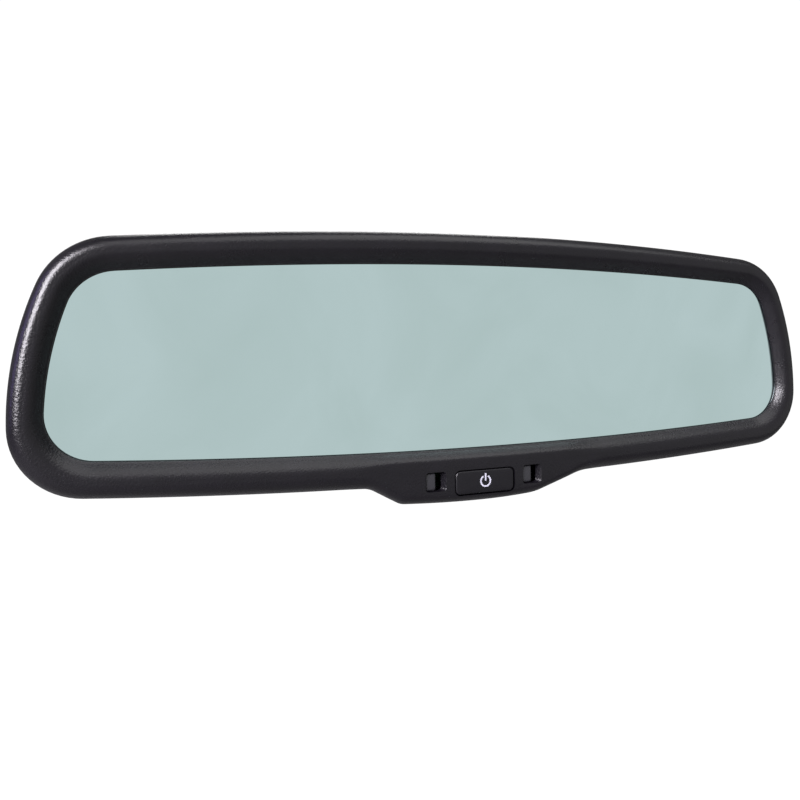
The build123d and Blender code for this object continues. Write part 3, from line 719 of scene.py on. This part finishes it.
def coat_nodes(material, *names):
    for name in names:
        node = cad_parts[name]
        if not node.material_slots:
            node.data.materials.append(material)
        for socket in node.material_slots:
            socket.material = material


# %% [markdown]
# ## Black moulded plastic
# Frame and cover are moulded in a tool with a fine leather grain: rounded pebbles 0.6 millimetre
# across, with finer ones between them. The grain spreads the highlight into a soft band with a
# sparkle in it. The plastic itself is nearly black, a little violet.

# %% Grained plastic of frame and cover
grained = finish("grained_black_plastic", (0.0024, 0.0021, 0.0030), 0.28, ior=1.38)
tones(grained, 9.0, (0.0020, 0.0018, 0.0026), (0.0028, 0.0024, 0.0036))
grain(grained, 0.045, leather_cells(grained, 0.60), noise(grained, 0.30, 2.0))
blotches(grained, 5.0, 0.25, 0.31)
coat_piece(bezel, grained)
coat_piece(cover, grained)

# %% [markdown]
# The button is smoother than the frame, with only the faintest texture left by the spark-eroded
# tool.

# %% Button plastic and white mark
button_black = finish("satin_black_cap", (0.0035, 0.0033, 0.0042), 0.30, ior=1.32)
grain(button_black, 0.006, noise(button_black, 0.25, 2.0))
blotches(button_black, 3.0, 0.27, 0.34)
coat_piece(button, button_black)

mark_white = finish("white_inlay", (0.25, 0.25, 0.29), 0.50)
tones(mark_white, 1.2, (0.23, 0.23, 0.27), (0.27, 0.27, 0.31))
grain(mark_white, 0.004, noise(mark_white, 0.2))
coat_piece(symbol, mark_white)

# %% [markdown]
# ## The mirror face
# The silver is behind the front plate and the dimming gel, and it gives back a little less red
# than blue and green. So the face is a tinted metal, almost perfectly smooth. A very slow change
# in tone, a few centimetres across, is a painted reflection: it stands for soft clouds mirrored in the
# face.

# %% Mirror face
mirror_face = finish("tinted_mirror", (0.67, 0.85, 0.85), 0.03, metallic=1.0)
# Painted reflection: the slow change in tone stands for clouds mirrored in the face, not for the gel.
tones(mirror_face, 38.0, (0.645, 0.825, 0.820), (0.695, 0.880, 0.885), detail=3.0, distortion=0.8)
blotches(mirror_face, 40.0, 0.02, 0.05)
coat_piece(mirror_plate, mirror_face)
# Dark line round the face: the real dark cell edge, with a painted reflection of the dark lip in it.
cell_edge_and_lip_reflection = finish("dark_cell_edge_and_lip_reflection", (0.004, 0.006, 0.006), 0.25)
tones(cell_edge_and_lip_reflection, 5.0, (0.003, 0.005, 0.005), (0.006, 0.009, 0.009))
blotches(cell_edge_and_lip_reflection, 3.0, 0.20, 0.30)
mirror_plate.data.materials.append(cell_edge_and_lip_reflection)
for face in mirror_plate.data.polygons:
    is_face = len(face.vertices) > 4 and face.center.y < glass_y + MM / 2
    face.material_index = 0 if is_face else 1

# %% [markdown]
# ## Finishes inside the head and on the stem
# These parts show only through the openings or when the head comes apart, and each still has the
# surface it is made with: brushed or plated metal, natural nylon, green board, foam, clear and
# smoked plastic.

# %% Metals
def metal(name, color, roughness, grain_mm, height_mm):
    material = finish(name, color, roughness, metallic=1.0)
    grain(material, height_mm, noise(material, grain_mm, 3.0))
    blotches(material, grain_mm * 12, roughness * 0.8, roughness * 1.25)
    return material


steel = metal("zinc_plated_steel", (0.55, 0.56, 0.58), 0.34, 0.5, 0.004)
ball_steel = metal("polished_steel", (0.62, 0.62, 0.63), 0.16, 0.4, 0.001)
bronze = metal("spring_bronze", (0.60, 0.40, 0.20), 0.30, 0.4, 0.003)
pin_brass = metal("tinned_brass", (0.74, 0.62, 0.36), 0.25, 0.3, 0.002)
sintered = metal("sintered_metal", (0.32, 0.32, 0.33), 0.55, 0.35, 0.02)
coat_nodes(steel, "pivot_plate", "pivot_screws", "board_screws", "stem_spring", "set_screw")
coat_nodes(ball_steel, "head_ball_stud", "foot_ball_stud")
coat_nodes(bronze, "upper_bus_clip", "lower_bus_clip")
coat_nodes(pin_brass, "socket_pins")
coat_nodes(sintered, "windscreen_button")

# %% Painted metal of stem and foot
paint = finish("satin_black_paint", (0.012, 0.012, 0.013), 0.38, ior=1.45, Coat_Weight=0.15)
grain(paint, 0.012, noise(paint, 0.6, 3.0), noise(paint, 2.4, 2.0))
blotches(paint, 6.0, 0.34, 0.46)
coat_nodes(paint, "stem_tube", "mount_foot")

# %% Plastics, gel, foam and board
def plastic(name, color, roughness, size_mm=0.5, height_mm=0.006, **sockets):
    material = finish(name, color, roughness, **sockets)
    grain(material, height_mm, noise(material, size_mm, 2.0))
    blotches(material, 4.0, roughness * 0.85, roughness * 1.2)
    return material


nylon = plastic("natural_nylon", (0.62, 0.60, 0.52), 0.42)
carrier_grey = plastic("carrier_plastic", (0.045, 0.045, 0.046), 0.5)
connector = plastic("connector_plastic", (0.022, 0.022, 0.024), 0.42)
chip_black = plastic("moulded_component", (0.015, 0.015, 0.016), 0.55, 0.2, 0.01)
board_green = plastic("solder_mask", (0.010, 0.085, 0.035), 0.28, 1.5, 0.01)
foam_black = plastic("closed_cell_foam", (0.03, 0.03, 0.03), 0.95, 0.8, 0.15)
seal_grey = plastic("epoxy_seal", (0.10, 0.10, 0.095), 0.5)
gel = plastic("dimming_gel", (0.60, 0.74, 0.55), 0.1)
silvered = metal("silvered_plate", (0.86, 0.88, 0.88), 0.04, 30.0, 0.0005)
lamp_body = plastic("lamp_body", (0.70, 0.70, 0.60), 0.2)
smoked = plastic("smoked_lens", (0.012, 0.012, 0.014), 0.26, 1.0, 0.002)
coat_nodes(nylon, "head_seat_ring", "head_ball_cup", "foot_seat_ring", "foot_ball_cup")
coat_nodes(carrier_grey, "mirror_carrier")
coat_nodes(connector, "wiring_socket")
coat_nodes(chip_black, "control_chip", "tact_switch", "switch_plunger", "glare_sensor", "ambient_sensor")
coat_nodes(board_green, "circuit_board")
coat_nodes(foam_black, "foam_pad")
coat_nodes(seal_grey, "cell_seal")
coat_nodes(gel, "ec_gel")
coat_nodes(silvered, "rear_glass")
coat_nodes(lamp_body, "indicator_led")
coat_nodes(smoked, "ambient_sensor_lens")
for piece in small_windows:
    coat_piece(piece, smoked)

# %% [markdown]
# ## Floor and light
# The head hangs from its foot, so the floor is well below it and is only a pale ground. A mirror
# shows whatever is in front of it, and black plastic is only as black as what it reflects. So the
# floor glows white for the camera alone, and is dim for every other ray: a floor that was bright
# for all of them would light the plastic from below. The room is dim too, apart from a broad pale
# glow in front of the glass. The highlights are left to the lamps: a softbox above and in front,
# a strong square one to the left for the long highlight, a faint violet one beyond it, and one
# more that fills the back.

# %% Floor
FLOOR_DROP, FLOOR_REACH, FLOOR_CORNERS = 0.42, 1.3, 96


def build_floor():
    verts = []
    for k in range(FLOOR_CORNERS):
        around = 2 * math.pi * k / FLOOR_CORNERS
        verts.append((FLOOR_REACH * math.cos(around), FLOOR_REACH * math.sin(around), -FLOOR_DROP))
    mesh = bpy.data.meshes.new("floor")
    mesh.from_pydata(verts, [], [tuple(range(FLOOR_CORNERS))])
    floor = put_in_scene("floor", mesh)
    pale = finish("pale_floor", (0.16, 0.16, 0.16), 0.9)
    tones(pale, 900.0, (0.15, 0.15, 0.15), (0.17, 0.17, 0.17))
    nodes, links = pale.node_tree.nodes, pale.node_tree.links
    seen, glow, blend = (nodes.new(kind) for kind in
                         ("ShaderNodeLightPath", "ShaderNodeEmission", "ShaderNodeAddShader"))
    links.new(seen.outputs["Is Camera Ray"], glow.inputs["Strength"])
    links.new(nodes["Principled BSDF"].outputs[0], blend.inputs[0])
    links.new(glow.outputs[0], blend.inputs[1])
    links.new(blend.outputs[0], nodes["Material Output"].inputs["Surface"])
    mesh.materials.append(pale)
    return floor


# %% Room
GLOW_WAY = Vector((0.38, -0.92, 0.04)).normalized()
GLOW, ROOM, BACKDROP = 0.80, 0.20, 1.05
GLOW_STARTS, GLOW_FULL = 0.35, 0.86


def build_world():
    world = bpy.data.worlds.new("studio")
    bpy.context.scene.world = world
    world.use_nodes = True
    nodes, links = world.node_tree.nodes, world.node_tree.links
    nodes.clear()
    way = nodes.new("ShaderNodeTexCoord")
    facing = nodes.new("ShaderNodeVectorMath")
    facing.operation = "DOT_PRODUCT"
    facing.inputs[1].default_value = GLOW_WAY
    links.new(way.outputs["Generated"], facing.inputs[0])
    fall = nodes.new("ShaderNodeMapRange")
    fall.interpolation_type = "SMOOTHSTEP"
    fall.inputs["From Min"].default_value = GLOW_STARTS
    fall.inputs["From Max"].default_value = GLOW_FULL
    fall.inputs["To Min"].default_value = ROOM
    fall.inputs["To Max"].default_value = GLOW
    links.new(facing.outputs["Value"], fall.inputs["Value"])
    room, backdrop = nodes.new("ShaderNodeBackground"), nodes.new("ShaderNodeBackground")
    links.new(fall.outputs["Result"], room.inputs["Strength"])
    backdrop.inputs["Color"].default_value = (1.0, 1.0, 1.0, 1.0)
    backdrop.inputs["Strength"].default_value = BACKDROP
    path = nodes.new("ShaderNodeLightPath")
    blend = nodes.new("ShaderNodeMixShader")
    out = nodes.new("ShaderNodeOutputWorld")
    links.new(path.outputs["Is Camera Ray"], blend.inputs["Fac"])
    links.new(room.outputs[0], blend.inputs[1])
    links.new(backdrop.outputs[0], blend.inputs[2])
    links.new(blend.outputs[0], out.inputs["Surface"])


# %% Lamps
LAMPS = (
    # name, place, size, power in watts, colour
    ("softbox", (0.35, -0.60, 1.15), (1.3, 1.1), 10.0, (1.0, 1.0, 1.0)),
    ("key_left", (-0.80, -0.72, 0.42), (0.70, 0.80), 66.0, (0.97, 0.93, 1.0)),
    ("violet_edge", (-1.05, 0.10, 0.30), (0.30, 0.6), 1.6, (0.50, 0.38, 1.0)),
    ("back_fill", (0.35, 1.10, 0.75), (0.9, 0.7), 7.0, (1.0, 1.0, 1.0)),
)


def lamp(name, place, aim, size, power, color):
    data = bpy.data.lights.new(name, "AREA")
    data.shape = "RECTANGLE"
    data.size, data.size_y = size
    data.energy = power
    data.color = color
    light = put_in_scene(name, data)
    light.rotation_euler = (aim - Vector(place)).to_track_quat("-Z", "Y").to_euler()
    light.location = place


build_world()
build_floor()
head_middle = at(0, 5, 0)
for name, place, size, power, color in LAMPS:
    lamp(name, place, head_middle, size, power, color)
bpy.context.scene.view_settings.view_transform = "Standard"
print("lamps:", [name for name, *rest in LAMPS])
